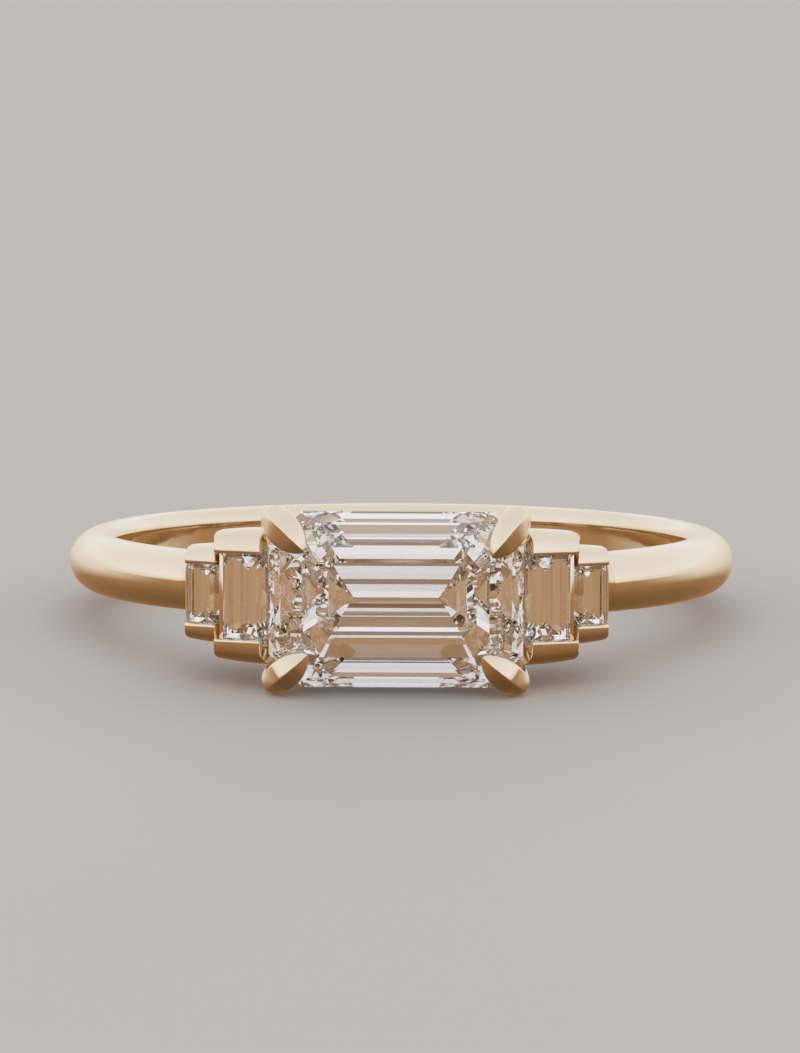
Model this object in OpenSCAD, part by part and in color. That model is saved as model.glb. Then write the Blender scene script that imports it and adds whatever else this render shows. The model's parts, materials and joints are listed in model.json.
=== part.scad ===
// Engagement ring: one step-cut centre stone set across the finger in four
// ridged claws, with two stepped baguettes held by end bars on each side, on a
// plain round-shouldered band. Millimetres. The finger hole runs along Z and
// is centred on the origin; the stones face -Y.

/* [Finger and band] */
// Inside diameter of the finger hole
finger_d = 16.5; // [15.5:0.1:18.5]
// Width of the band along the finger
band_w = 1.7; // [1.5:0.05:2]
// Thickness of the band, from the finger outwards
band_t = 1.3; // [1.3:0.05:1.5]
// Radius of the two softened edges inside the band
band_edge_r = 0.4; // [0.3:0.05:0.4]
// Half of the angle that the stone settings take up, where the band ends
shoulder_angle = 39; // [38:0.5:40]

/* [Centre stone] */
// Length of the centre stone, across the finger
stone_l = 7.0; // [6.9:0.02:7.04]
// Width of the centre stone, along the finger
stone_w = 4.85; // [4.75:0.05:4.95]
// Leg of the cut corner at the girdle
stone_corner = 0.92; // [0.8:0.02:1]
// Thickness of the girdle
girdle_t = 0.12; // [0.06:0.02:0.16]
// Slope of the crown step beside the girdle
crown_slope_1 = 49.5; // [47:0.5:51]
// Slope of the middle crown step
crown_slope_2 = 41; // [40:0.5:42]
// Slope of the crown step beside the table
crown_slope_3 = 37.5; // [36:0.5:39]
// Height of the crown step beside the girdle
crown_step_1 = 0.32; // [0.3:0.01:0.33]
// Height of the middle crown step
crown_step_2 = 0.24; // [0.22:0.01:0.25]
// Height of the crown step beside the table
crown_step_3 = 0.28; // [0.26:0.01:0.29]
// Slope of the pavilion step beside the girdle
pavilion_slope_1 = 58.4; // [57.6:0.2:59]
// Slope of the middle pavilion step
pavilion_slope_2 = 48.6; // [48:0.2:49.2]
// Slope of the lower pavilion step
pavilion_slope_3 = 31.2; // [30.6:0.2:32]
// Slope of the two sides that meet in the keel
pavilion_slope_4 = 27; // [26:0.2:28]
// Length of the keel line under the stone
keel_l = 2.34; // [2:0.02:2.6]

/* [Claws] */
// Diameter of a claw wire just under the girdle
claw_d = 0.84; // [0.7:0.02:0.9]
// Width of the leaf-shaped claw tip at its broadest
claw_leaf_w = 0.94; // [0.8:0.02:1.06]
// Rise of the ridge along the middle of a claw tip, per millimetre of half width
claw_ridge = 0.62; // [0.4:0.02:0.7]

/* [Side stones] */
// Width of an inner baguette, round the band
inner_w = 1.33; // [1.28:0.01:1.34]
// Length of an inner baguette, along the finger
inner_l = 2.6; // [2.5:0.02:2.7]
// Outward tilt of an inner baguette
inner_tilt = 22; // [20:1:24]
// Width of an outer baguette, round the band
outer_w = 1.04; // [0.98:0.01:1.05]
// Length of an outer baguette, along the finger
outer_l = 1.88; // [1.8:0.02:1.94]
// Outward tilt of an outer baguette
outer_tilt = 28; // [26:1:30]
// How far each end bar folds over its baguette
bar_grip = 0.12; // [0.08:0.01:0.14]

/* [Gallery] */
// Thickness of the bridge under the stones
bridge_t = 0.8; // [0.7:0.05:0.9]
// Height of the centre stone's girdle over the finger
girdle_rise = 3.46; // [3.44:0.01:3.5]
// Height of the gallery rail
rail_h = 0.38; // [0.3:0.02:0.45]

/* [Hidden] */
$fn = 96;
gold = "#d9a962";
diamond = "#eef2f7";
ri = finger_d / 2;                       // finger surface
ro = ri + band_t;                        // crest of the band
rb = ri + bridge_t;                      // outside of the bridge
girdle_z = ri + girdle_rise;             // underside of the centre girdle
// crown and pavilion steps from the girdle: slope, height
crown = [[crown_slope_1, crown_step_1], [crown_slope_2, crown_step_2], [crown_slope_3, crown_step_3]];
pavilion = [[pavilion_slope_1, 1.06], [pavilion_slope_2, 0.775], [pavilion_slope_3, 0.345]];
lift = ri - 8.25;                        // moves the settings with the finger size
inner_x = 4.16;  inner_z = 10.96 + lift; // middle of the inner baguette's girdle
outer_x = 5.32;  outer_z = 10.15 + lift; // middle of the outer baguette's girdle
bag_girdle = 0.05;
bag_crown = 0.15;
e = 0.01;

// ---------- helpers ----------

// The settings are drawn in a head frame: x round the band, y along the
// finger, z outwards from the finger. This turns it into the ring's frame.
module head_frame() { rotate([90, 0, 0]) children(); }

// Eight points of a rectangle a by b (half sizes) with corners cut by c
function oct(a, b, c, z) = [
  [a, -(b - c), z], [a, b - c, z], [a - c, b, z], [-(a - c), b, z],
  [-a, b - c, z], [-a, -(b - c), z], [-(a - c), -b, z], [a - c, -b, z]];
function quad(a, b, z) = [[a, -b, z], [a, b, z], [-a, b, z], [-a, -b, z]];
// Side faces between ring i and ring i+1 of n points each
function band_faces(i, n) = [for (j = [0:n - 1])
  [i * n + j, i * n + (j + 1) % n, (i + 1) * n + (j + 1) % n, (i + 1) * n + j]];

// Skin over rings of n points, counter-clockwise from the first end
module skin(rings) {
  n = len(rings[0]); m = len(rings);
  polyhedron(
    points = [for (r = rings) each r],
    faces = concat(
      [[for (j = [n - 1:-1:0]) j]],
      [for (i = [0:m - 2]) each band_faces(i, n)],
      [[for (j = [0:n - 1]) (m - 1) * n + j]]),
    convexity = 4);
}

// ---------- stones ----------

// Distance in from the girdle, and height over it, after k steps
function inset(steps, k) = k == 0 ? 0 : steps[k - 1][1] / tan(steps[k - 1][0]) + inset(steps, k - 1);
function rise(steps, k) = k == 0 ? 0 : steps[k - 1][1] + rise(steps, k - 1);

// Step-cut stone with cut corners: table, crown steps, girdle, pavilion steps, keel.
// The cut corners shorten evenly as the steps go in.
module step_cut(l, w, c, gt, kl) {
  a = l / 2; b = w / 2; k = kl / 2;
  ph = rise(pavilion, 3) + (b - inset(pavilion, 3)) * tan(pavilion_slope_4);
  rings = concat(
    [for (i = [3:-1:0]) oct(a - 0.31 * i, b - inset(crown, i), c * (1 - 0.181 * i), gt + rise(crown, i))],
    [for (i = [0:3]) oct(a - 0.965 * inset(pavilion, i), b - inset(pavilion, i), c * (1 - 0.445 * inset(pavilion, i)), -rise(pavilion, i))]);
  m = len(rings); u = (m - 1) * 8; k0 = m * 8; k1 = k0 + 1;
  polyhedron(
    points = concat([for (r = rings) each r], [[k, 0, -ph], [-k, 0, -ph]]),
    faces = concat(
      [[for (j = [7:-1:0]) j]],
      [for (i = [0:m - 2]) each band_faces(i, 8)],
      [[u, u + 1, k0], [u + 1, u + 2, k0], [u + 2, u + 3, k1, k0], [u + 3, u + 4, k1],
       [u + 4, u + 5, k1], [u + 5, u + 6, k1], [u + 6, u + 7, k0, k1], [u + 7, u, k0]]),
    convexity = 2);
}

// Straight baguette with its long side along y; sl holds the slopes of its
// three pavilion steps
module baguette(w, l, sl) {
  a = l / 2; b = w / 2; g = bag_girdle;
  z1 = 0.36 * b * tan(sl[0]); z2 = z1 + 0.34 * b * tan(sl[1]); z3 = z2 + 0.3 * b * tan(sl[2]);
  rings = [
    quad(a - 0.27, b - 0.24, g + bag_crown),
    quad(a - 0.13, b - 0.12, g + bag_crown * 0.62),
    quad(a, b, g),
    quad(a, b, 0),
    quad(a - 0.32 * b, b * 0.64, -z1),
    quad(a - 0.63 * b, b * 0.3, -z2)];
  m = len(rings); u = (m - 1) * 4; k = a - 0.9 * b;
  rotate([0, 0, 90])
    polyhedron(
      points = concat([for (r = rings) each r], [[k, 0, -z3], [-k, 0, -z3]]),
      faces = concat(
        [[3, 2, 1, 0]],
        [for (i = [0:m - 2]) each band_faces(i, 4)],
        [[u, u + 1, m * 4], [u + 1, u + 2, m * 4 + 1, m * 4],
         [u + 2, u + 3, m * 4 + 1], [u + 3, u, m * 4, m * 4 + 1]]),
      convexity = 2);
}

module center_gem() {
  translate([0, 0, girdle_z])
    step_cut(stone_l, stone_w, stone_corner, girdle_t, keel_l);
}
module inner_gem() { baguette(inner_w, inner_l, [56, 48, 36]); }
module outer_gem() { baguette(outer_w, outer_l, [60, 52, 42]); }
module place_inner() { translate([inner_x, 0, inner_z]) rotate([0, inner_tilt, 0]) children(); }
module place_outer() { translate([outer_x, 0, outer_z]) rotate([0, outer_tilt, 0]) children(); }

// ---------- band and bridge ----------

// Band section: flat inside with softened edges, half-round outside
band_profile = let (h = band_w / 2, r = band_edge_r, n = 8, m = 28) concat(
  [for (i = [0:n]) [ri + r - r * sin(90 * i / n), -h + r - r * cos(90 * i / n)]],
  [for (i = [0:n]) [ri + r - r * cos(90 * i / n), h - r + r * sin(90 * i / n)]],
  [for (i = [0:m]) let (t = 90 - 180 * i / m) [ro - h * 1.0 + h * cos(t), h * sin(t)]]);

module shank() {
  color(gold)
    rotate([0, 0, 270 + shoulder_angle])
      rotate_extrude(angle = 360 - 2 * shoulder_angle) polygon(band_profile);
}

// Bridge section: the same inside as the band, a flat outside
bridge_profile = let (h = band_w / 2, r = band_edge_r, n = 8) concat(
  [for (i = [0:n]) [ri + r - r * sin(90 * i / n), -h + r - r * cos(90 * i / n)]],
  [for (i = [0:n]) [ri + r - r * cos(90 * i / n), h - r + r * sin(90 * i / n)]],
  [[rb, h], [rb, -h]]);

module gallery_bridge() {
  color(gold)
    difference() {
      rotate([0, 0, 270 - shoulder_angle])
        rotate_extrude(angle = 2 * shoulder_angle) polygon(bridge_profile);
      // light windows under the stones
      translate([-1.5, -rb - 1, -0.4]) cube([3, 3, 0.8]);
      for (s = [-1, 1], t = [21.3, 31.5])
        rotate([0, 0, s * t]) translate([-0.3, -rb - 1, -0.4]) cube([0.6, 3, 0.8]);
    }
}

// ---------- centre head ----------

module rounded_plate(a, b, r, z0, z1) {
  translate([0, 0, z0]) linear_extrude(z1 - z0) {
    square([2 * a, 2 * (b - r)], center = true);
    square([2 * (a - r), 2 * b], center = true);
    for (x = [-1, 1], y = [-1, 1]) translate([x * (a - r), y * (b - r)]) circle(r);
  }
}

base_top = girdle_z - 2.11;
module base_rail_body() {
  difference() {
    rounded_plate(2.62, 1.33, 0.5, rb - 0.75, base_top);
    rounded_plate(1.94, 0.72, 0.2, rb - 1, base_top + 1);
    // saddle that sits on the bridge
    rotate([90, 0, 0]) cylinder(h = 4, r = rb, center = true);
  }
}

rail_top = girdle_z - 1.1;
module gallery_rail_body() {
  difference() {
    translate([0, 0, rail_top - rail_h]) linear_extrude(rail_h)
      polygon([for (p = oct(3.22, 2.13, 0.8, 0)) [p[0], p[1]]]);
    translate([0, 0, rail_top - rail_h - 1]) linear_extrude(rail_h + 2)
      polygon([for (p = oct(2.9, 1.81, 0.62, 0)) [p[0], p[1]]]);
  }
}

// One claw at the +x +y corner: a wire that leans outwards, and a leaf-shaped
// tip with a ridge down its middle, folded over the stone's corner
claw_out = [3.61, 2.47];   // outermost point of the tip, in plan
claw_tip = [2.48, 1.39];   // its point, over the stone
// distance from the outermost point, half width as a share of the broadest,
// and height of the ridge over the girdle
claw_u = [0, 0.05, 0.15, 0.32, 0.55, 0.76, 0.86, 1.00, 1.20, 1.40, 1.51, 1.56];
claw_v = [0.20, 0.36, 0.54, 0.75, 0.95, 1.0, 0.98, 0.91, 0.73, 0.46, 0.24, 0.05];
claw_top = [0.34, 0.42, 0.57, 0.78, 0.96, 1.06, 1.09, 1.12, 1.11, 1.07, 1.03, 0.99];
module claw_body() {
  d = claw_tip - claw_out; dir = d / norm(d); nrm = [dir[1], -dir[0]];
  skin([for (i = [0:len(claw_u) - 1])
    let (u = claw_u[i], v = claw_v[i] * claw_leaf_w / 2, zr = girdle_z + claw_top[i],
         zs = zr - claw_ridge * v, zb = girdle_z + (u < 0.8 ? -0.42 : 0.02),
         q = claw_out + dir * u)
    [[q[0] - nrm[0] * v, q[1] - nrm[1] * v, zb],
     [q[0] + nrm[0] * v, q[1] + nrm[1] * v, zb],
     [q[0] + nrm[0] * v, q[1] + nrm[1] * v, zs],
     [q[0] + nrm[0] * v * 0.55, q[1] + nrm[1] * v * 0.55, zr - claw_ridge * v * 0.5],
     [q[0], q[1], zr],
     [q[0] - nrm[0] * v * 0.55, q[1] - nrm[1] * v * 0.55, zr - claw_ridge * v * 0.5],
     [q[0] - nrm[0] * v, q[1] - nrm[1] * v, zs]]]);
  // the wire
  skin([for (s = [0:8])
    let (t = s / 8, cx = 2.27 + 0.97 * t, cy = 1.01 + 1.10 * t,
         z = base_top + (girdle_z - 0.12 - base_top) * t, r = 0.36 + (claw_d / 2 - 0.36) * t)
    [for (k = [23:-1:0]) [cx + r * cos(15 * k), cy + r * sin(15 * k), z]]]);
}

module claw() {
  difference() {
    claw_body();
    center_gem();
    gallery_rail_body();
  }
}

// ---------- side settings ----------

// End bar at +y: ridge beside the stone's end, rounded outer flank, leg below.
// h is half the baguette's length, o how far the bar stands beyond it, x0 its
// near end and x1 the far end, which end_face then trims.
bar_drop = 0.95;
module bar_body(h, o, x0, x1) {
  prof = [
    [h - bar_grip, 0.10], [h - bar_grip, 0.28], [h - bar_grip + 0.02, 0.37],
    [h - bar_grip + 0.07, 0.405], [h + 0.02, 0.398], [h + o * 0.21, 0.385],
    [h + o * 0.45, 0.34], [h + o * 0.64, 0.26], [h + o * 0.80, 0.15],
    [h + o * 0.93, 0], [h + o, -0.25],
    [h + o - 0.345, -bar_drop], [h - 0.05, -bar_drop]];
  intersection() {
    translate([x0, 0, 0]) rotate([90, 0, 90]) linear_extrude(x1 - x0) polygon(prof);
    translate([0, 0, -2]) linear_extrude(4) polygon(concat(
      [[x0, h - 1], [x1, h - 1], [x1, h + o]],
      [for (i = [0:4]) [x0 + 0.12 - 0.12 * sin(90 * i / 4), h + o - 0.12 + 0.12 * cos(90 * i / 4)]]));
  }
}
// Plan outline that ends a bar in a flat face at x1, with its outer corner
// rounded to radius r at height y1 along the finger
module end_face(x1, y1, r) {
  translate([0, 0, 6]) linear_extrude(8) polygon(concat(
    [[x1 - 3, 0], [x1, 0]],
    [for (i = [0:8]) [x1 - r + r * cos(90 * i / 8), y1 - r + r * sin(90 * i / 8)]],
    [[x1 - 3, y1]]));
}
module inner_bar_body() {
  intersection() {
    place_inner() bar_body(inner_l / 2, 0.6, -0.6, 1.4);
    end_face(5.04, inner_l / 2 + 0.61, 0.24);
  }
}
module outer_bar_body() {
  intersection() {
    place_outer() bar_body(outer_l / 2, 0.45, -0.55, 1.4);
    end_face(5.88, outer_l / 2 + 0.46, 0.22);
  }
}
module inner_bar() {
  difference() {
    inner_bar_body();
    place_inner() inner_gem();
  }
}
module outer_bar() {
  difference() {
    outer_bar_body();
    place_outer() outer_gem();
    // the inner bar runs on over this one's near end
    inner_bar_body();
    inner_seat_block();
  }
}

// Seat under an inner baguette: radial sides, V-shaped towards the bridge
module inner_seat_block() {
  lz = lift;
  intersection() {
    translate([0, 3, 0]) rotate([90, 0, 0]) linear_extrude(6)
      polygon([[3.56, 11.18 + lz], [4.77, 10.70 + lz], [4.79, 10.77 + lz], [4.89, 10.73 + lz],
               [3.66, 7.9 + lz], [2.72, 8.3 + lz]]);
    place_inner() translate([-2, 0, 0]) rotate([90, 0, 90]) linear_extrude(4)
      polygon([[-1.3, 0.2], [-1.3, -0.2], [-1.3, -bar_drop], [-1.515, -bar_drop], [-0.85, -2.4], [-0.85, -4],
               [0.85, -4], [0.85, -2.4], [1.515, -bar_drop], [1.3, -bar_drop], [1.3, -0.2], [1.3, 0.2]]);
  }
}
module inner_seat() {
  difference() {
    inner_seat_block();
    place_inner() {
      inner_gem();
      translate([-0.28, -0.85, -4]) cube([0.56, 1.7, 4]);
    }
    inner_bar_body();
    mirror([0, 1, 0]) inner_bar_body();
    rotate([90, 0, 0]) cylinder(h = 4, r = rb, center = true);
  }
}

// Seat under an outer baguette, running down to a rounded collar on the band
module outer_seat() {
  lz = lift;
  difference() {
    intersection() {
      translate([0, 3, 0]) rotate([90, 0, 0]) linear_extrude(6)
        polygon([[4.88, 10.395 + lz], [5.80, 9.93 + lz], [5.90, 9.90 + lz], [6.08, 7.2 + lz],
                 [5.6, 6.4 + lz], [3.70, 7.85 + lz]]);
      place_outer() translate([-3, 0, 0]) rotate([90, 0, 90]) linear_extrude(6)
        polygon([[-0.93, 0.2], [-0.93, -bar_drop], [-1.035, -bar_drop], [-0.87, -2.3], [-0.87, -5],
                 [0.87, -5], [0.87, -2.3], [1.035, -bar_drop], [0.93, -bar_drop], [0.93, 0.2]]);
      translate([4.02, 0, 5]) cylinder(h = 8, r = 2.07);
    }
    place_outer() {
      outer_gem();
      translate([-0.24, -0.5, -4]) cube([0.48, 1.0, 4]);
    }
    for (m = [0, 1]) mirror([0, m, 0]) { inner_bar_body(); outer_bar_body(); }
    inner_seat_block();
    rotate([90, 0, 0]) cylinder(h = 4, r = rb, center = true);
    rotate([-90, 0, 0]) shank();
  }
}

// ---------- nodes ----------

module at(left, lower) {
  color(gold) head_frame()
    mirror([left ? 1 : 0, 0, 0]) mirror([0, lower ? 1 : 0, 0]) children();
}
module gem(left) { color(diamond) head_frame() mirror([left ? 1 : 0, 0, 0]) children(); }

shank();
gallery_bridge();
color(gold) head_frame() base_rail_body();  // head_base_rail
color(gold) head_frame() gallery_rail_body();  // head_gallery_rail
at(true, false) claw();  // claw_upper_left
at(false, false) claw();  // claw_upper_right
at(true, true) claw();  // claw_lower_left
at(false, true) claw();  // claw_lower_right
at(true, false) inner_seat();  // seat_inner_left
at(false, false) inner_seat();  // seat_inner_right
at(true, false) outer_seat();  // seat_outer_left
at(false, false) outer_seat();  // seat_outer_right
at(true, false) inner_bar();  // bar_inner_left_upper
at(true, true) inner_bar();  // bar_inner_left_lower
at(false, false) inner_bar();  // bar_inner_right_upper
at(false, true) inner_bar();  // bar_inner_right_lower
at(true, false) outer_bar();  // bar_outer_left_upper
at(true, true) outer_bar();  // bar_outer_left_lower
at(false, false) outer_bar();  // bar_outer_right_upper
at(false, true) outer_bar();  // bar_outer_right_lower
gem(false) center_gem();  // center_stone
gem(true) place_inner() inner_gem();  // baguette_inner_left
gem(false) place_inner() inner_gem();  // baguette_inner_right
gem(true) place_outer() outer_gem();  // baguette_outer_left
gem(false) place_outer() outer_gem();  // baguette_outer_right
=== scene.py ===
import bpy, bmesh, json, math
import numpy as np
from mathutils import Vector, Matrix

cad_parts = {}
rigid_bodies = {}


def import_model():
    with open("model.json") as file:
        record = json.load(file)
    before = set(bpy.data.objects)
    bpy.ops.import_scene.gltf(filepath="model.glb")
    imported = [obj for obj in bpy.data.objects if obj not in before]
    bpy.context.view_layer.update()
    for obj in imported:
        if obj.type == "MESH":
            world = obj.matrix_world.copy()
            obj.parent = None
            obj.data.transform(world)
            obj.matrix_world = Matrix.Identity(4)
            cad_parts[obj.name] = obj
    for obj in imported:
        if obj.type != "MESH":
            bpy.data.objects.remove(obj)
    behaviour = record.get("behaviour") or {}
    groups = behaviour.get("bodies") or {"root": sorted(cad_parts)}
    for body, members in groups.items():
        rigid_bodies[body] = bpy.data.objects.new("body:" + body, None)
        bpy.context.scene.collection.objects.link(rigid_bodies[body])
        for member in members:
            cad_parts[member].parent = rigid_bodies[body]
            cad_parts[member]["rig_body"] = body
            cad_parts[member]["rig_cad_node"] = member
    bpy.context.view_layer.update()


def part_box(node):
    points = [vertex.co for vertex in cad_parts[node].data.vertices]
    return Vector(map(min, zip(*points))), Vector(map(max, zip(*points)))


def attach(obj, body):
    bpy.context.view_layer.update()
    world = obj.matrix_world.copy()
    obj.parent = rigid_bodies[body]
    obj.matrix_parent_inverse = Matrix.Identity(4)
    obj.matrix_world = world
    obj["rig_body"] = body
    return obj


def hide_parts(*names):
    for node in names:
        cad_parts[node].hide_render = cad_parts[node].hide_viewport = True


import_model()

MM = 0.001
sc = bpy.context.scene
rad, cos, sin, pi = math.radians, math.cos, math.sin, math.pi


# =====================================================================
# Sizes, in millimetres: the band's and the centre stone's read from the CAD nodes, the rest given
# =====================================================================
def box_mm(node):
    lo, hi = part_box(node)
    return lo / MM, hi / MM

lo, hi = box_mm("shank")
RO, BAND_H = hi.x, (hi.z - lo.z) / 2            # crest radius, half width of the band
RI = 8.25                                       # finger radius
EDGE_R = 0.4
RB = RI + 0.8                                   # outside of the bridge
lo, hi = box_mm("center_stone")
STONE_A, STONE_B = (hi.x - lo.x) / 2, (hi.z - lo.z) / 2
TABLE_D, KEEL_D = -lo.y, -hi.y
GIRDLE_T = 0.12
CROWN = ((49.5, 0.32), (41.0, 0.24), (37.5, 0.28))            # slope, height of each step
PAVILION = ((58.4, 1.06), (48.6, 0.775), (31.2, 0.345))
KEEL_SLOPE = 27.0
PAV_H = 2.18 + (STONE_B - sum(h / math.tan(rad(t)) for t, h in PAVILION)) * math.tan(rad(KEEL_SLOPE))
G = 11.71                                       # underside of the girdle
SHOULDER = 39.0
IN_X, IN_Z, IN_W, IN_L, IN_T = 4.16, 10.96, 1.33, 2.60, 22.0
OUT_X, OUT_Z, OUT_W, OUT_L, OUT_T = 5.32, 10.15, 1.04, 1.88, 28.0
BASE_TOP = G - 2.11
RAIL_TOP = G - 1.10

# =====================================================================
# Materials
# =====================================================================
def new_mat(name):
    m = bpy.data.materials.new(name); m.use_nodes = True
    nt = m.node_tree; nt.nodes.clear()
    out = nt.nodes.new("ShaderNodeOutputMaterial")
    b = nt.nodes.new("ShaderNodeBsdfPrincipled")
    nt.links.new(b.outputs[0], out.inputs[0])
    return m, nt, b

def noise(nt, vec, scale, detail=2.0, rough=0.5, stretch=None):
    n = nt.nodes.new("ShaderNodeTexNoise")
    n.inputs["Scale"].default_value = scale
    n.inputs["Detail"].default_value = detail
    n.inputs["Roughness"].default_value = rough
    if stretch:
        mp = nt.nodes.new("ShaderNodeMapping")
        mp.inputs["Scale"].default_value = stretch
        nt.links.new(vec, mp.inputs[0]); vec = mp.outputs[0]
    nt.links.new(vec, n.inputs["Vector"])
    return n.outputs[0]

def to_range(nt, fac, a, b, lo=0.3, hi=0.7):
    r = nt.nodes.new("ShaderNodeMapRange")
    for k, v in enumerate((lo, hi, a, b)): r.inputs[k + 1].default_value = v
    nt.links.new(fac, r.inputs[0])
    return r.outputs[0]

def gold_material(name, tone=1.0, wave=0.5, rough=(0.035, 0.085)):
    """Polished 14 carat gold: a hand-polished surface with a slight orange-peel
    waviness, fine buffing lines and a faintly uneven lustre."""
    m, nt, b = new_mat(name)
    tc = nt.nodes.new("ShaderNodeTexCoord").outputs["Object"]
    # colour: the alloy is even; polish residue and handling make it wander a little
    blot = noise(nt, tc, 420.0, 3.0, 0.55)
    cr = nt.nodes.new("ShaderNodeValToRGB")
    cr.color_ramp.elements[0].position = 0.32; cr.color_ramp.elements[0].color = (0.890 * tone, 0.785 * tone, 0.610 * tone, 1)
    cr.color_ramp.elements[1].position = 0.70; cr.color_ramp.elements[1].color = (0.925 * tone, 0.830 * tone, 0.665 * tone, 1)
    nt.links.new(blot, cr.inputs[0]); nt.links.new(cr.outputs[0], b.inputs["Base Color"])
    b.inputs["Metallic"].default_value = 1.0
    # buffing lines run round the finger; they only change the lustre
    lines = noise(nt, tc, 2600.0, 4.0, 0.65, (0.25, 0.25, 3.0))
    patch = noise(nt, tc, 900.0, 2.0, 0.5)
    mx = nt.nodes.new("ShaderNodeMath"); mx.operation = "MULTIPLY"
    nt.links.new(to_range(nt, lines, 0.6, 1.4), mx.inputs[0])
    nt.links.new(to_range(nt, patch, rough[0], rough[1]), mx.inputs[1])
    nt.links.new(mx.outputs[0], b.inputs["Roughness"])
    # polish waviness: shallow, about a third of a millimetre from crest to crest
    wv = noise(nt, tc, 1500.0, 1.5, 0.4)
    fine = noise(nt, tc, 9000.0, 2.0, 0.5, (0.6, 0.6, 2.0))
    b1 = nt.nodes.new("ShaderNodeBump"); b1.inputs["Strength"].default_value = 0.12 * wave; b1.inputs["Distance"].default_value = 0.00006
    b2 = nt.nodes.new("ShaderNodeBump"); b2.inputs["Strength"].default_value = 0.10 * wave; b2.inputs["Distance"].default_value = 0.000006
    nt.links.new(wv, b1.inputs["Height"]); nt.links.new(fine, b2.inputs["Height"])
    nt.links.new(b1.outputs[0], b2.inputs["Normal"]); nt.links.new(b2.outputs[0], b.inputs["Normal"])
    return m

def diamond_material(name, tint=(1.0, 1.0, 1.0)):
    """Colourless diamond: the refractive index does the work, with a trace of
    uneven body colour."""
    m, nt, b = new_mat(name)
    tc = nt.nodes.new("ShaderNodeTexCoord").outputs["Object"]
    cr = nt.nodes.new("ShaderNodeValToRGB")
    cr.color_ramp.elements[0].position = 0.35; cr.color_ramp.elements[0].color = (0.985 * tint[0], 0.988 * tint[1], 0.995 * tint[2], 1)
    cr.color_ramp.elements[1].position = 0.65; cr.color_ramp.elements[1].color = (tint[0], tint[1], tint[2], 1)
    nt.links.new(noise(nt, tc, 700.0, 2.0, 0.5), cr.inputs[0])
    nt.links.new(cr.outputs[0], b.inputs["Base Color"])
    b.inputs["Roughness"].default_value = 0.0
    b.inputs["IOR"].default_value = 2.417
    b.inputs["Transmission Weight"].default_value = 1.0
    return m

GOLD = gold_material("yellow_gold_polished")
GOLD_BAR = gold_material("yellow_gold_bars", wave=1.0)
GOLD_IN = gold_material("yellow_gold_inside", wave=0.7, rough=(0.06, 0.14))
DIAMOND = diamond_material("diamond")
DIAMOND_SIDE = diamond_material("diamond_side")

# =====================================================================
# Mesh tools. Pieces are built in millimetres in the head frame: x round the
# band, y along the finger, z outwards from the finger.
# =====================================================================
def raw(name, V, F):
    me = bpy.data.meshes.new(name)
    me.from_pydata([tuple(map(float, v)) for v in V], [], [tuple(int(i) for i in f) for f in F])
    bm = bmesh.new(); bm.from_mesh(me)
    bmesh.ops.remove_doubles(bm, verts=bm.verts, dist=1e-6)
    bmesh.ops.recalc_face_normals(bm, faces=bm.faces)
    bm.to_mesh(me); bm.free()
    o = bpy.data.objects.new(name, me); sc.collection.objects.link(o)
    return o

def loft(name, S, closed=False):
    """Skin over sections, an array of n sections by m points."""
    S = np.asarray(S, float); n, m = S.shape[:2]
    V = S.reshape(-1, 3)
    F = []
    for i in range(n if closed else n - 1):
        a, b = i * m, ((i + 1) % n) * m
        for j in range(m):
            k = (j + 1) % m
            F.append((a + j, a + k, b + k, b + j))
    if not closed:
        F.append(tuple(range(m - 1, -1, -1))); F.append(tuple((n - 1) * m + j for j in range(m)))
    return raw(name, V, F)

def bake_mods(o):
    dg = bpy.context.evaluated_depsgraph_get(); dg.update()
    me = bpy.data.meshes.new_from_object(o.evaluated_get(dg))
    old = o.data; o.modifiers.clear(); o.data = me; bpy.data.meshes.remove(old)
    return o

def cut(o, *tools, op="DIFFERENCE"):
    for t in tools:
        md = o.modifiers.new("cut", "BOOLEAN"); md.operation = op; md.solver = "EXACT"; md.object = t
    bake_mods(o)
    return o

def soften(o, width, segments=2, angle=30.0):
    """Rounds the edges that a hand would round, after merging flat facets."""
    bm = bmesh.new(); bm.from_mesh(o.data)
    bmesh.ops.remove_doubles(bm, verts=bm.verts, dist=1e-4)
    bmesh.ops.dissolve_limit(bm, angle_limit=rad(1.0), verts=bm.verts, edges=bm.edges)
    bm.to_mesh(o.data); bm.free()
    md = o.modifiers.new("round", "BEVEL"); md.width = width; md.segments = segments
    md.limit_method = "ANGLE"; md.angle_limit = rad(angle); md.use_clamp_overlap = True
    md.harden_normals = False; md.miter_outer = "MITER_ARC"
    bake_mods(o)
    return o

def drop(*obs):
    for o in obs:
        me = o.data; bpy.data.objects.remove(o); bpy.data.meshes.remove(me)

def copy_of(o, name):
    c = bpy.data.objects.new(name, o.data.copy()); sc.collection.objects.link(c); return c

def finish_piece(o, name, node, mat, sx=1, sy=1, sharp=32.0, flat=False, head=True):
    """Moves a millimetre mesh into the shared frame, in metres, and hangs it on
    the ring in place of its CAD node."""
    me = o.data
    M = Matrix(((sx * MM, 0, 0, 0), (0, 0, -MM, 0), (0, sy * MM, 0, 0), (0, 0, 0, 1))) if head else Matrix.Scale(MM, 4)
    me.transform(M)
    if head and sx * sy < 0: me.flip_normals()
    me.materials.clear(); me.materials.append(mat)
    for p in me.polygons: p.use_smooth = not flat; p.material_index = 0
    if not flat: me.set_sharp_from_angle(angle=rad(sharp))
    me.update()
    o.name = name; me.name = name
    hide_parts(node)
    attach(o, "root")
    return o

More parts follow.
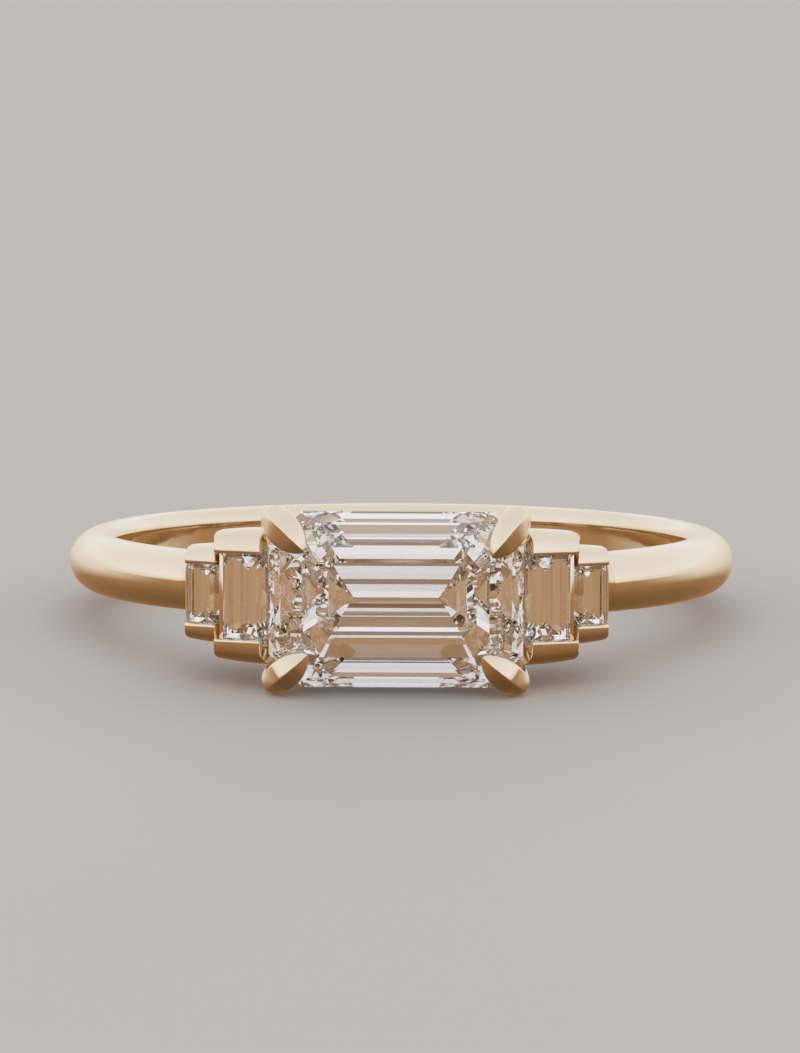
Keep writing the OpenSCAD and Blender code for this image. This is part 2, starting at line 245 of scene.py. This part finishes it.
def spline(pts, n):
    """Catmull-Rom through the rows of pts, resampled to n rows."""
    P = np.asarray(pts, float); m = len(P)
    d = np.r_[0, np.cumsum(np.linalg.norm(np.diff(P[:, :4], axis=0), axis=1) ** 0.5 + 1e-6)]
    T = np.zeros_like(P)
    for i in range(m):
        a, b = max(i - 1, 0), min(i + 1, m - 1)
        T[i] = (P[b] - P[a]) / (d[b] - d[a])
    t = np.linspace(0, d[-1], n); k = np.clip(np.searchsorted(d, t) - 1, 0, m - 2)
    h = (d[k + 1] - d[k])[:, None]; s = ((t - d[k]) / h[:, 0])[:, None]
    return ((2 * s**3 - 3 * s**2 + 1) * P[k] + (s**3 - 2 * s**2 + s) * h * T[k]
            + (-2 * s**3 + 3 * s**2) * P[k + 1] + (s**3 - s**2) * h * T[k + 1])

def prism(name, pts, axis, a, b):
    """Prism of a polygon. axis 'x': pts are (y, z); 'y': pts are (x, z); 'z': pts are (x, y)."""
    f = {"x": lambda p, t: (t, p[0], p[1]), "y": lambda p, t: (p[0], t, p[1]), "z": lambda p, t: (p[0], p[1], t)}[axis]
    return loft(name, [[f(p, t) for p in pts] for t in (a, b)])

def cyl_y(name, r, half, n=240):
    return prism(name, [(r * cos(2 * pi * i / n), r * sin(2 * pi * i / n)) for i in range(n)], "y", -half, half)

def place(o, cx, cz, tilt):
    t = rad(tilt)
    o.data.transform(Matrix.Translation((cx, 0, cz)) @ Matrix.Rotation(t, 4, "Y"))
    return o

# =====================================================================
# Stones: exact flat facets
# =====================================================================
def octo(a, b, c, z):
    return [(a, -(b - c), z), (a, b - c, z), (a - c, b, z), (-(a - c), b, z),
            (-a, b - c, z), (-a, -(b - c), z), (-(a - c), -b, z), (a - c, -b, z)]
def quad4(a, b, z): return [(a, -b, z), (a, b, z), (-a, b, z), (-a, -b, z)]

def gem(name, rings, keel, kz, grow=0.0):
    n = len(rings[0]); m = len(rings); V = [p for r in rings for p in r]
    u = (m - 1) * n; k0, k1 = m * n, m * n + 1
    V += [(keel, 0, kz), (-keel, 0, kz)]
    F = [tuple(range(n))]
    for i in range(m - 1):
        for j in range(n):
            F.append((i * n + j, i * n + (j + 1) % n, (i + 1) * n + (j + 1) % n, (i + 1) * n + j))
    if n == 8:
        F += [(u, u + 1, k0), (u + 1, u + 2, k0), (u + 2, u + 3, k1, k0), (u + 3, u + 4, k1),
              (u + 4, u + 5, k1), (u + 5, u + 6, k1), (u + 6, u + 7, k0, k1), (u + 7, u, k0)]
    else:
        F += [(u, u + 1, k0), (u + 1, u + 2, k1, k0), (u + 2, u + 3, k1), (u + 3, u, k0, k1)]
    if grow:
        V = [tuple(c + grow * (1 if c > 0 else -1 if c < 0 else 0) for c in v[:2]) + (v[2] + (grow if i < n else (-grow if i >= k0 else 0)),) for i, v in enumerate(V)]
    return raw(name, V, F)

def center_rings():
    a, b, c = STONE_A, STONE_B, 0.92
    rings = [octo(a, b, c, GIRDLE_T), octo(a, b, c, 0)]
    z, i = GIRDLE_T, 0.0
    for n, (ang, h) in enumerate(CROWN):
        z += h; i += h / math.tan(rad(ang))
        rings.insert(0, octo(a - 0.31 * (n + 1), b - i, c * (1 - 0.181 * (n + 1)), z))
    z, i = 0, 0.0
    for ang, h in PAVILION:
        z -= h; i += h / math.tan(rad(ang))
        rings.append(octo(a - i * 0.965, b - i, c * (1 - 0.445 * i), z))
    return rings
def center_gem(name, grow=0.0):
    o = gem(name, center_rings(), 1.17, -PAV_H, grow)
    o.data.transform(Matrix.Translation((0, 0, G)))
    return o

def baguette_gem(name, w, l, sl, grow=0.0):
    a, b, g = l / 2, w / 2, 0.05
    z1 = 0.36 * b * math.tan(rad(sl[0])); z2 = z1 + 0.34 * b * math.tan(rad(sl[1])); z3 = z2 + 0.3 * b * math.tan(rad(sl[2]))
    rings = [quad4(a - 0.27, b - 0.24, g + 0.15), quad4(a - 0.13, b - 0.12, g + 0.15 * 0.62), quad4(a, b, g), quad4(a, b, 0),
             quad4(a - 0.32 * b, b * 0.64, -z1), quad4(a - 0.63 * b, b * 0.30, -z2)]
    o = gem(name, rings, a - 0.9 * b, -z3, grow)
    o.data.transform(Matrix.Rotation(pi / 2, 4, "Z"))
    return o
def inner_gem(name, grow=0.0): return place(baguette_gem(name, IN_W, IN_L, (56, 48, 36), grow), IN_X, IN_Z, IN_T)
def outer_gem(name, grow=0.0): return place(baguette_gem(name, OUT_W, OUT_L, (60, 52, 42), grow), OUT_X, OUT_Z, OUT_T)

finish_piece(center_gem("g"), "center_stone_facets", "center_stone", DIAMOND, flat=True)
for side, sx in (("left", -1), ("right", 1)):
    finish_piece(inner_gem("g"), f"inner_baguette_{side}", f"baguette_inner_{side}", DIAMOND_SIDE, sx=sx, flat=True)
    finish_piece(outer_gem("g"), f"outer_baguette_{side}", f"baguette_outer_{side}", DIAMOND_SIDE, sx=sx, flat=True)

# =====================================================================
# Band and bridge: swept sections
# =====================================================================
def band_profile(n_in=10, n_out=64):
    h, r = BAND_H, EDGE_R
    P = [(RI + r - r * sin(pi / 2 * i / n_in), -h + r - r * cos(pi / 2 * i / n_in)) for i in range(n_in + 1)]
    P += [(RI, -h + r + (2 * h - 2 * r) * i / 8) for i in range(1, 8)]
    P += [(RI + r - r * cos(pi / 2 * i / n_in), h - r + r * sin(pi / 2 * i / n_in)) for i in range(n_in + 1)]
    P += [(RO - h + h * cos(pi / 2 - pi * i / n_out), h * sin(pi / 2 - pi * i / n_out)) for i in range(n_out + 1)]
    return P

def sweep(name, prof, a0, a1, n):
    """Sweeps (radius, z) points round the finger; angles in degrees from -Y."""
    S = []
    for i in range(n + 1):
        t = rad(a0 + (a1 - a0) * i / n)
        S.append([(r * sin(t), -r * cos(t), z) for r, z in prof])
    return loft(name, S)

shank = sweep("shank", band_profile(), SHOULDER, 360 - SHOULDER, 420)
finish_piece(shank, "band", "shank", GOLD, head=False, sharp=50)

def bridge_profile(n=8):
    h, r, e = BAND_H, EDGE_R, 0.05
    P = [(RI + r - r * sin(pi / 2 * i / n), -h + r - r * cos(pi / 2 * i / n)) for i in range(n + 1)]
    P += [(RI + r - r * cos(pi / 2 * i / n), h - r + r * sin(pi / 2 * i / n)) for i in range(n + 1)]
    P += [(RB - e + e * sin(pi / 2 * i / 4), h - e + e * cos(pi / 2 * i / 4)) for i in range(5)]
    P += [(RB - e + e * cos(pi / 2 * i / 4), -h + e - e * sin(pi / 2 * i / 4)) for i in range(5)]
    return P

def window(name, half_x, half_z, r, t):
    P = [(sx * (half_x - r) + r * cos(q), sz * (half_z - r) + r * sin(q)) for sx, sz, q0 in ((1, 1, 0), (-1, 1, pi / 2), (-1, -1, pi), (1, -1, 1.5 * pi))
         for q in [q0 + pi / 2 * i / 6 for i in range(7)]]
    o = prism(name, P, "y", -RB - 1, -RI + 1.0)
    o.data.transform(Matrix.Rotation(rad(t), 4, "Z"))
    return o
bridge = sweep("bridge", bridge_profile(), -SHOULDER, SHOULDER, 120)
tools = [window("w", 1.5, 0.4, 0.2, 0)] + [window("w", 0.3, 0.4, 0.15, s * t) for s in (-1, 1) for t in (21.3, 31.5)]
cut(bridge, *tools); drop(*tools)
finish_piece(bridge, "bridge", "gallery_bridge", GOLD_IN, head=False, sharp=35)

# =====================================================================
# Centre head: rails
# =====================================================================
def ring_path(a, b, r, n=14):
    """Rounded rectangle: points and outward normals."""
    P = []
    for sx, sy, q0 in ((1, 1, 0), (-1, 1, pi / 2), (-1, -1, pi), (1, -1, 1.5 * pi)):
        for i in range(n + 1):
            q = q0 + pi / 2 * i / n
            P.append((sx * (a - r) + r * cos(q), sy * (b - r) + r * sin(q), cos(q), sin(q)))
    return P

def rounded_section(w, h, r, n=5):
    P = []
    for sx, sy, q0 in ((1, 1, 0), (-1, 1, pi / 2), (-1, -1, pi), (1, -1, 1.5 * pi)):
        for i in range(n + 1):
            q = q0 + pi / 2 * i / n
            P.append((sx * (w / 2 - r) + r * cos(q), sy * (h / 2 - r) + r * sin(q)))
    return P

def rail(name, a, b, r, w, z0, z1, er):
    sec = rounded_section(w, z1 - z0, er); zc = (z0 + z1) / 2
    return loft(name, [[(x + nx * p, y + ny * p, zc + q) for p, q in sec] for x, y, nx, ny in ring_path(a, b, r)], closed=True)

bridge_core = cyl_y("core", RB, 3, 360)
base = rail("base", 2.28, 1.025, 0.42, 0.62, RB - 0.75, BASE_TOP, 0.09)
cut(base, bridge_core)
finish_piece(base, "head_base", "head_base_rail", GOLD_IN, sharp=40)
gal = rail("gal", 3.06, 1.97, 0.9, 0.31, RAIL_TOP - 0.38, RAIL_TOP, 0.1)
stone_tool = center_gem("stone_tool", 0.004)
cut(gal, stone_tool)
finish_piece(gal, "head_gallery", "head_gallery_rail", GOLD_IN, sharp=40)

# =====================================================================
# Claws: a wire that rises from the base rail, swells, and folds over the
# stone's corner in a ridged leaf
# =====================================================================
OUT_P, TIP_P = np.array([3.61, 2.47]), np.array([2.48, 1.39])
DV = (TIP_P - OUT_P) / np.linalg.norm(TIP_P - OUT_P)
NV = np.array([-DV[1], DV[0]])
# each row: ridge (u, z), underside (u, z), half width, how far it is a leaf
z = lambda h: G + h
CLAW = [
    (1.617, BASE_TOP, 2.337, BASE_TOP, 0.36, 0), (1.146, z(-1.41), 1.902, z(-1.41), 0.378, 0),
    (0.657, z(-0.81), 1.453, z(-0.81), 0.398, 0), (0.333, z(-0.41), 1.153, z(-0.41), 0.41, 0),
    (0.130, z(-0.16), 0.965, z(-0.16), 0.42, 0), (0.030, z(0.09), 0.900, z(0.04), 0.435, 0.08),
    (0.000, z(0.26), 0.870, z(0.11), 0.45, 0.25), (0.035, z(0.40), 0.860, z(0.15), 0.465, 0.5),
    (0.130, z(0.57), 0.870, z(0.19), 0.48, 0.8), (0.300, z(0.78), 0.920, z(0.24), 0.495, 0.97),
    (0.530, z(0.96), 1.000, z(0.31), 0.50, 1), (0.760, z(1.06), 1.080, z(0.38), 0.485, 1),
    (0.900, z(1.095), 1.150, z(0.44), 0.46, 1), (1.050, z(1.12), 1.230, z(0.50), 0.415, 1),
    (1.200, z(1.11), 1.310, z(0.56), 0.355, 1), (1.350, z(1.075), 1.400, z(0.63), 0.268, 1),
    (1.460, z(1.035), 1.475, z(0.69), 0.180, 1), (1.530, z(1.00), 1.520, z(0.73), 0.095, 1),
    (1.556, z(0.975), 1.545, z(0.76), 0.035, 1)]
# each claw was bent by hand: width, sideways lean at its heel and at its point
HAND = {"upper_left": (0.95, 0.0, 0.03), "upper_right": (0.90, -0.02, 0.19),
        "lower_left": (0.87, -0.04, -0.08), "lower_right": (0.87, -0.06, -0.14)}

def claw_sections(wide, heel, point):
    rows = spline(CLAW, 96)
    M = 56; S = []
    for ut, zt, ub, zb, w, k in rows:
        w = max(w, 0.012); k = min(max(k, 0), 1)
        w *= 1 + (wide - 1) * k
        rise = min(max((zt - z(-0.41)) / 0.67, 0), 1); rise = rise * rise * (3 - 2 * rise)
        lean = rise * (heel + (point - heel) * (min(ut, 1.55) / 1.55 if zt > z(0.26) else 0))
        T, B = np.array([ut, zt]), np.array([ub, zb]); H = np.linalg.norm(T - B)
        pts = []
        for j in range(M):
            f = 2 * pi * j / M                      # 0 is the ridge
            ev, eh = sin(f), 0.5 + 0.5 * cos(f)     # round wire
            # leaf: two nearly flat planes from the ridge to the rim, a rounded rim, a flat underside
            drop_h = min(0.60 * w, 0.62 * H) / H    # height lost from ridge to rim
            q = abs(math.remainder(f, 2 * pi)) / pi  # 0 ridge .. 1 middle of the underside
            sgn = 1 if sin(f) >= 0 else -1
            if q < 0.56:
                s = q / 0.56
                s = s ** 1.15
                lv = s; r0 = 0.035
                lh = 1 - drop_h * (math.sqrt(s * s + r0 * r0) - r0) / (math.sqrt(1 + r0 * r0) - r0) * (0.90 + 0.10 * s)
            elif q < 0.80:
                s = (q - 0.56) / 0.24; a = s * pi / 2
                rim = 1 - drop_h
                lv = 1 - 0.16 * (1 - cos(a)) * 1.0; lh = rim * (1 - sin(a) * 0.96)
            else:
                s = (q - 0.80) / 0.20
                lv = 0.84 * (1 - s); lh = (1 - drop_h) * 0.04 * (1 - s)
            v = (ev * (1 - k) + sgn * lv * k) * w
            hh = eh * (1 - k) + lh * k
            p = B + (T - B) * hh
            xy = OUT_P + DV * p[0] + NV * (v + lean)
            pts.append((xy[0], xy[1], p[1]))
        S.append(pts)
    return S

for ud, sy in (("upper", 1), ("lower", -1)):
    for lr, sx in (("left", -1), ("right", 1)):
        claw = loft("claw", claw_sections(*HAND[f"{ud}_{lr}"]))
        cut(claw, stone_tool)
        finish_piece(claw, f"claw_{ud}_{lr}_leaf", f"claw_{ud}_{lr}", GOLD, sx=sx, sy=sy, sharp=38)

# =====================================================================
# End bars of the side stones
# =====================================================================
GRIP = 0.12
def bar_profile(h, o, foot):
    """(y, z) round the bar's section: stone side, ridge, rounded flank, leg."""
    key = [(h - GRIP, 0.10), (h - GRIP, 0.24), (h - GRIP + 0.005, 0.32), (h - GRIP + 0.02, 0.365), (h - GRIP + 0.04, 0.393), (h - GRIP + 0.07, 0.403),
           (h + 0.02, 0.398), (h + o * 0.21, 0.382), (h + o * 0.45, 0.338), (h + o * 0.64, 0.262), (h + o * 0.80, 0.152), (h + o * 0.93, -0.01),
           (h + o, -0.25)]
    P = [tuple(p) for p in spline(np.array(key), 34)]
    P += [(h + o - (h + o - foot) * k, -0.25 - 0.70 * k) for k in (0.25, 0.5, 0.75)]
    P += [(foot, -0.95), (h - 0.05, -0.95)]
    return P

def bar(name, h, o, cx, cz, tilt, x0, xe, r, foot, back):
    """xe is the flat far end, in the head frame; r rounds its outer corner. The
    leg narrows to foot, and its end falls back by back towards its bottom."""
    P = np.array(bar_profile(h, o, foot)); c = P[:34].mean(0) * [1, 1] - [0, 0.1]
    ct, st = cos(rad(tilt)), sin(rad(tilt))
    y1 = h + o + 0.01
    def far(p):
        y = p[0]; X = xe
        if y > y1 - r: X = xe - r + math.sqrt(max(0, r * r - (y - (y1 - r)) ** 2))
        X -= back * min(1, max(0, (-0.2 - p[1]) / 0.75)) ** 1.2
        return (X - cx - p[1] * st) / ct
    e = 0.055
    stations = [(0, 1.0), (0, 0.55), (0.3, 0.16), (1, 0), ("m", 0), (-1, 0), (-0.3, 0.16), (0, 0.55), (0, 1.0)]
    S = []
    st_list = [(e * (1 - cos(a)), e * (1 - sin(a))) for a in [pi / 2 * i / 5 for i in range(6)]]
    near, fars = [], []
    thin = lambda y, t: y if y < h else h + (y - h) * (1 - 0.17 * t ** 1.7)      # a bar stands lower at its far end
    for d, ins in st_list:     # d from the end face, ins = inset of the section
        Q = []
        for p in P:
            v = p - c; L = np.linalg.norm(v); Q.append(c + v * max(0.0, (L - ins)) / L)
        near.append([(x0 + d, q[0], q[1]) for q in Q])
        fars.append([(far(p) - d, thin(q[0], 1), q[1]) for p, q in zip(P, Q)])
    mid = []
    for t in (0.12, 0.3, 0.5, 0.7, 0.88):
        mid.append([(x0 + e + (far(p) - e - x0 - e) * t, thin(p[0], t), p[1]) for p in P])
    o_ = loft(name, near + mid + fars[::-1])
    return place(o_, cx, cz, tilt)

in_bar = bar("in_bar", IN_L / 2, 0.60, IN_X, IN_Z, IN_T, -0.60, 5.05, 0.30, 1.50, 0.0)
out_bar = bar("out_bar", OUT_L / 2, 0.45, OUT_X, OUT_Z, OUT_T, -0.55, 5.88, 0.28, 0.945, 0.20)
in_tool, out_tool = inner_gem("it", 0.003), outer_gem("ot", 0.003)
in_bar_full = copy_of(in_bar, "ibf"); out_bar_full = copy_of(out_bar, "obf")
cut(in_bar, in_tool)

# seat blocks, as in the CAD
in_block = prism("ib", [(3.56, 11.18), (4.77, 10.70), (4.79, 10.77), (4.89, 10.73), (3.66, 7.9), (2.72, 8.3)], "y", -3, 3)
vee = prism("vee", [(-1.3, 0.2), (-1.3, -0.95), (-1.515, -0.95), (-0.85, -2.4), (-0.85, -4), (0.85, -4), (0.85, -2.4), (1.515, -0.95), (1.3, -0.95), (1.3, 0.2)], "x", -2, 2)
place(vee, IN_X, IN_Z, IN_T)
cut(in_block, vee, op="INTERSECT"); drop(vee)
in_block_full = copy_of(in_block, "ibk")
cut(out_bar, out_tool, in_bar_full, in_block_full)
for ud, sy in (("upper", 1), ("lower", -1)):
    for lr, sx in (("left", -1), ("right", 1)):
        finish_piece(copy_of(in_bar, "b"), f"inner_bar_{lr}_{ud}", f"bar_inner_{lr}_{ud}", GOLD_BAR, sx=sx, sy=sy, sharp=40)
        finish_piece(copy_of(out_bar, "b"), f"outer_bar_{lr}_{ud}", f"bar_outer_{lr}_{ud}", GOLD_BAR, sx=sx, sy=sy, sharp=40)
drop(in_bar, out_bar)

# =====================================================================
# Seats of the side stones
# =====================================================================
def mirrored_y(o, name):
    c = copy_of(o, name); c.data.transform(Matrix.Diagonal((1, -1, 1, 1))); c.data.flip_normals(); return c
in_bar_low, out_bar_low = mirrored_y(in_bar_full, "ibl"), mirrored_y(out_bar_full, "obl")
hole = prism("h", [(-0.28, -0.85), (0.28, -0.85), (0.28, 0.85), (-0.28, 0.85)], "z", -4, 0); place(hole, IN_X, IN_Z, IN_T)
cut(in_block, in_tool, hole, in_bar_full, in_bar_low, bridge_core)
soften(in_block, 0.025, 2, 35)
drop(hole)
for lr, sx in (("left", -1), ("right", 1)):
    finish_piece(copy_of(in_block, "s"), f"inner_seat_{lr}", f"seat_inner_{lr}", GOLD_IN, sx=sx, sharp=35)

def collar_block():
    """Outer seat: flat towards the inner seat, rounded towards the band, and
    swelling into the collar where it meets the shank."""
    S = []
    zs = np.linspace(10.40, 6.6, 46)
    for zz in zs:
        t = (10.40 - zz) / (10.40 - 6.6)
        xo = 5.86 + 0.21 * min(1, max(0, (9.95 - zz) / 2.6)) ** 1.3      # outermost at mid height
        half = 0.93 - 0.075 * min(1, max(0, (9.3 - zz) / 1.6))
        bulge = 0.10 + 0.22 * min(1, max(0, (9.9 - zz) / 1.8)) ** 0.8    # how far the corners fall back
        pw = 5.0 - 2.6 * min(1, max(0, (9.9 - zz) / 1.8))
        x0 = 4.88 - (10.395 - zz) * (4.88 - 3.70) / (10.395 - 7.85)
        sec = []
        n = 40
        for i in range(n + 1):
            y = -half + 2 * half * i / n
            # finer spacing near the ends
            y = half * sin(pi / 2 * (2 * i / n - 1))
            sec.append((xo - bulge * abs(y / half) ** pw, y, zz))
        sec += [(x0, half, zz), (x0, half * 0.5, zz), (x0, 0, zz), (x0, -half * 0.5, zz), (x0, -half, zz)]
        S.append(sec)
    return loft("collar", S)
collar = collar_block()
topcut = prism("tc", [(4.0, 10.84), (4.88, 10.395), (5.80, 9.93), (5.95, 9.88), (7.5, 9.6), (7.5, 12), (4.0, 12)], "y", -3, 3)
hole = prism("h", [(-0.24, -0.5), (0.24, -0.5), (0.24, 0.5), (-0.24, 0.5)], "z", -4, 0); place(hole, OUT_X, OUT_Z, OUT_T)
shank_tool = sweep("st", band_profile(6, 32), SHOULDER - 0.0, 80, 60)
shank_tool.data.transform(Matrix.Rotation(-pi / 2, 4, "X"))       # ring frame to head frame
cut(collar, topcut, out_tool, hole, out_bar_full, out_bar_low, in_bar_full, in_bar_low, in_block_full, bridge_core, shank_tool)
drop(topcut, hole, shank_tool)
soften(collar, 0.02, 2, 40)
for lr, sx in (("left", -1), ("right", 1)):
    finish_piece(copy_of(collar, "s"), f"outer_seat_{lr}", f"seat_outer_{lr}", GOLD, sx=sx, sharp=35)
drop(collar, in_block, in_block_full, in_bar_full, out_bar_full, in_bar_low, out_bar_low, in_tool, out_tool, stone_tool, bridge_core)

# =====================================================================
# Camera
# =====================================================================
el, yaw, roll, dist = rad(5.4), rad(0.69), rad(0.2), 0.250
f_px = 34.7 * 250
cdir = Vector((cos(el) * sin(yaw), -cos(el) * cos(yaw), sin(el)))
right = Vector((cos(yaw), sin(yaw), 0))
up = right.cross(-cdir).normalized()
loc = cdir * dist
target = up * (32.5 / 34.7 * MM) - right * (1.5 / 34.7 * MM)
fwd = (target - loc).normalized()
cam = bpy.data.objects.new("camera", bpy.data.cameras.new("camera"))
sc.collection.objects.link(cam)
zc = -fwd; xc = up.cross(zc).normalized(); yc = zc.cross(xc)
cam.matrix_world = Matrix.Translation(loc) @ Matrix((xc, yc, zc)).transposed().to_4x4() @ Matrix.Rotation(roll, 4, "Z")
cam.data.sensor_width = 36.0
cam.data.sensor_fit = "AUTO"
cam.data.lens = f_px / 1053 * 36.0
cam.data.clip_start = 0.002
cam.data.clip_end = 20
cam.data.dof.use_dof = False
sc.camera = cam

# =====================================================================
# Floor: the ring lies on its two lower claws and the back of its band
# =====================================================================
pts = np.array([tuple(v.co) for o in sc.objects if o.type == "MESH" and o.get("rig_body") == "root" and not o.get("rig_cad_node") for v in o.data.vertices])
YZ = pts[:, 1:]
front, back = YZ[YZ[:, 0] < -0.009], YZ[YZ[:, 0] > 0.006]
phi = rad(4.6)
for _ in range(6):
    a = front[np.argmin(front[:, 1] * cos(phi) - front[:, 0] * sin(phi))]
    b = back[np.argmin(back[:, 1] * cos(phi) - back[:, 0] * sin(phi))]
    phi = math.atan2(b[1] - a[1], b[0] - a[0])
n = Vector((0, -sin(phi), cos(phi))); fy = Vector((0, cos(phi), sin(phi)))
p0 = Vector((0, a[0], a[1])) - n * 0.000004
print("floor tilt", math.degrees(phi), "touches", a / MM, b / MM)
me = bpy.data.meshes.new("floor"); ux = Vector((1.5, 0, 0)); uy = fy * 1.5
me.from_pydata([p0 - ux - uy, p0 + ux - uy, p0 + ux + uy, p0 - ux + uy], [], [(0, 1, 2, 3)])
floor = bpy.data.objects.new("floor", me); sc.collection.objects.link(floor)
fm, nt, b = new_mat("floor")
tc = nt.nodes.new("ShaderNodeTexCoord").outputs["Object"]
cr = nt.nodes.new("ShaderNodeValToRGB")
cr.color_ramp.elements[0].color = (0.60, 0.545, 0.49, 1); cr.color_ramp.elements[1].color = (0.64, 0.585, 0.53, 1)
nt.links.new(noise(nt, tc, 30.0, 2.0, 0.5), cr.inputs[0]); nt.links.new(cr.outputs[0], b.inputs["Base Color"])
b.inputs["Roughness"].default_value = 0.7
me.materials.append(fm)


# =====================================================================
# Light: one plain studio dome for everything in the scene, a broad white sky
# above the table and warm tones below, paler behind the ring than in front
# =====================================================================
w = bpy.data.worlds.new("studio"); sc.world = w; w.use_nodes = True
nt = w.node_tree; nt.nodes.clear()
N = nt.nodes.new; L = nt.links.new
def vdot(a, v):
    q = N("ShaderNodeVectorMath"); q.operation = "DOT_PRODUCT"; L(a, q.inputs[0]); q.inputs[1].default_value = tuple(v); return q.outputs["Value"]
def fmath(op, *xs):
    v = N("ShaderNodeMath"); v.operation = op
    for i, x in enumerate(xs):
        if isinstance(x, (int, float)): v.inputs[i].default_value = x
        else: L(x, v.inputs[i])
    return v.outputs[0]
def ramp(fac, stops):
    r = N("ShaderNodeValToRGB"); e = r.color_ramp.elements
    while len(e) < len(stops): e.new(0.5)
    for k, (t, c) in enumerate(stops):
        e[k].position = t; e[k].color = (*c, 1)
    L(fac, r.inputs[0]); return r.outputs[0]
def mix(fac, a, b):
    m = N("ShaderNodeMix"); m.data_type = "RGBA"
    for sck, x in ((m.inputs[0], fac), (m.inputs[6], a), (m.inputs[7], b)):
        if isinstance(x, (int, float)): sck.default_value = x
        elif isinstance(x, tuple): sck.default_value = (*x, 1)
        else: L(x, sck)
    return m.outputs[2]
d = N("ShaderNodeTexCoord").outputs["Generated"]
height = fmath("MULTIPLY_ADD", vdot(d, n), 0.5, 0.5)
sky = [(0.515, (0.80, 0.77, 0.75)), (0.60, (0.88, 0.90, 0.95)), (0.80, (0.84, 0.85, 0.89)), (1.0, (0.78, 0.79, 0.83))]
front = ramp(height, [(0.0, (0.14, 0.075, 0.035)), (0.25, (0.28, 0.15, 0.07)), (0.47, (0.42, 0.24, 0.12)), (0.497, (0.46, 0.29, 0.17))] + sky)
back = ramp(height, [(0.0, (0.14, 0.075, 0.035)), (0.25, (0.26, 0.14, 0.065)), (0.36, (0.36, 0.21, 0.11)), (0.41, (0.60, 0.49, 0.39)), (0.45, (0.74, 0.67, 0.61)), (0.497, (0.80, 0.76, 0.72))] + sky)
smooth = mix(ramp(fmath("MULTIPLY_ADD", vdot(d, fy), 0.5, 0.5), [(0.50, (0, 0, 0)), (0.80, (1, 1, 1))]), front, back)
col = smooth
bg = N("ShaderNodeBackground"); L(col, bg.inputs[0]); bg.inputs[1].default_value = 1.0
wo = N("ShaderNodeOutputWorld"); L(bg.outputs[0], wo.inputs[0])
floor.visible_glossy = False
floor.visible_transmission = False

sc.view_settings.view_transform = "Standard"
sc.cycles.max_bounces = 48
sc.cycles.transmission_bounces = 48
sc.cycles.glossy_bounces = 24
sc.cycles.transparent_max_bounces = 16
